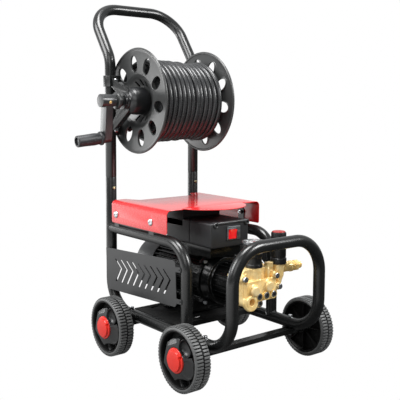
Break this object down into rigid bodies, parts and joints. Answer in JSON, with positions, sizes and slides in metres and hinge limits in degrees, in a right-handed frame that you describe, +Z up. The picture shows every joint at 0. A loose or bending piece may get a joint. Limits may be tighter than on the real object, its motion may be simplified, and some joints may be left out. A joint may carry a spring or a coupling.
{
  "type": "pressure washer",
  "caption": "Electric pressure washer on a wheeled tube cart with red sheet hood, brass pump head, and a cranked hose reel held between the handle posts.",
  "frame": {"origin": "under the middle of the bounding box, on the floor", "axes": "+Z up, -Y towards the pump and front hoop, -X towards the crank"},
  "size_m": [0.6024, 0.7534, 1.0958],
  "materials": {
    "frame_paint": "satin",
    "red_paint": "gloss",
    "panel_paint": "satin",
    "reel_paint": "satin",
    "motor_paint": "satin",
    "cowl_paint": "satin",
    "box_plastic": "textured",
    "black_plastic": "satin",
    "switch_metal": "brushed",
    "switch_red": "gloss",
    "cap_red": "satin",
    "tyre": "matte",
    "hub_plastic": "satin",
    "brass": "machined",
    "steel": "zinc plated",
    "hose_rubber": "satin",
    "gauge_steel": "polished",
    "glass": "clear",
    "grip_plastic": "satin",
    "button_plastic": "satin"
  },
  "bodies": {
    "frame": {"main_tube": "frame_paint", "loop_left": "frame_paint", "loop_right": "frame_paint", "handle_tube": "frame_paint", "base_plate": "frame_paint", "panel_left": "panel_paint", "panel_right": "panel_paint", "hood": "red_paint", "hood_bolts": "steel", "axle_front": "frame_paint", "axle_rear": "frame_paint", "axle_bolts": "steel", "control_box": "box_plastic", "switch_plate": "switch_metal", "motor_body": "motor_paint", "motor_bell": "motor_paint", "fan_cowl": "cowl_paint", "pump_housing": "motor_paint", "pump_head": "brass", "valve_caps": "brass", "socket_plugs": "steel", "head_bolts": "steel", "regulator_body": "brass", "outlet_fitting": "brass", "gauge_tower": "black_plastic", "gauge_case": "gauge_steel", "gauge_glass": "glass", "bracket_left": "frame_paint", "bracket_right": "frame_paint", "reel_bells": "frame_paint", "clamp_bolts": "steel", "motor_bolts": "steel"},
    "wheel_fl": {"tyre_fl": "tyre", "hub_fl": "hub_plastic", "cap_fl": "cap_red"},
    "wheel_fr": {"tyre_fr": "tyre", "hub_fr": "hub_plastic", "cap_fr": "cap_red"},
    "wheel_rl": {"tyre_rl": "tyre", "hub_rl": "hub_plastic", "cap_rl": "cap_red"},
    "wheel_rr": {"tyre_rr": "tyre", "hub_rr": "hub_plastic", "cap_rr": "cap_red"},
    "reel": {"flange_left": "reel_paint", "flange_right": "reel_paint", "drum": "reel_paint", "hose_coil": "hose_rubber", "crank": "frame_paint", "grub_screw": "brass"},
    "grip": {"crank_grip": "grip_plastic"},
    "power_rocker": {"rocker": "switch_red"},
    "regulator_knob": {"knob": "black_plastic", "knob_cap": "cap_red"},
    "pointer": {"gauge_pointer": "switch_red"},
    "rotor": {"motor_fan": "black_plastic"},
    "snap_button_left": {"snap_left": "button_plastic"},
    "snap_button_right": {"snap_right": "button_plastic"},
    "filler_cap": {"oil_cap": "cap_red"}
  },
  "joints": [
    {"name": "wheel_fl_spin", "type": "hinge", "parent": "frame", "child": "wheel_fl", "pos_m": [-0.20827, -0.24672, 0.09], "axis": [1, 0, 0], "continuous": true},
    {"name": "wheel_fr_spin", "type": "hinge", "parent": "frame", "child": "wheel_fr", "pos_m": [0.26473, -0.24672, 0.09], "axis": [1, 0, 0], "continuous": true},
    {"name": "wheel_rl_spin", "type": "hinge", "parent": "frame", "child": "wheel_rl", "pos_m": [-0.20827, 0.12128, 0.09], "axis": [1, 0, 0], "continuous": true},
    {"name": "wheel_rr_spin", "type": "hinge", "parent": "frame", "child": "wheel_rr", "pos_m": [0.26473, 0.12128, 0.09], "axis": [1, 0, 0], "continuous": true},
    {"name": "reel_spin", "type": "hinge", "parent": "frame", "child": "reel", "pos_m": [0.02823, 0.12828, 0.776], "axis": [1, 0, 0], "continuous": true},
    {"name": "grip_spin", "type": "hinge", "parent": "reel", "child": "grip", "pos_m": [-0.21358, 0.15847, 0.66336], "axis": [-0.9945, 0.0271, -0.101], "continuous": true},
    {"name": "rocker_tilt", "type": "hinge", "parent": "frame", "child": "power_rocker", "pos_m": [0.03423, -0.15372, 0.3885], "axis": [1, 0, 0], "range_deg": [-16, 0]},
    {"name": "regulator_turn", "type": "hinge", "parent": "frame", "child": "regulator_knob", "pos_m": [0.10123, -0.28472, 0.33], "axis": [0, 0, 1], "range_deg": [0, 1080]},
    {"name": "gauge_swing", "type": "hinge", "parent": "frame", "child": "pointer", "pos_m": [0.02023, -0.26872, 0.375], "axis": [0, 0, 1], "range_deg": [-270, 0], "stiffness_Nm_per_rad": 0.0002},
    {"name": "rotor_spin", "type": "hinge", "parent": "frame", "child": "rotor", "pos_m": [0.02823, 0.16728, 0.245], "axis": [0, 1, 0], "continuous": true},
    {"name": "snap_left_press", "type": "slide", "parent": "frame", "child": "snap_button_left", "axis": [0, 1, 0], "range_m": [0, 0.005], "stiffness_N_per_m": 1500},
    {"name": "snap_right_press", "type": "slide", "parent": "frame", "child": "snap_button_right", "axis": [0, 1, 0], "range_m": [0, 0.005], "stiffness_N_per_m": 1500},
    {"name": "filler_turn", "type": "hinge", "parent": "frame", "child": "filler_cap", "pos_m": [0.02823, -0.18572, 0.305], "axis": [0, 0, 1], "continuous": true}
  ]
}
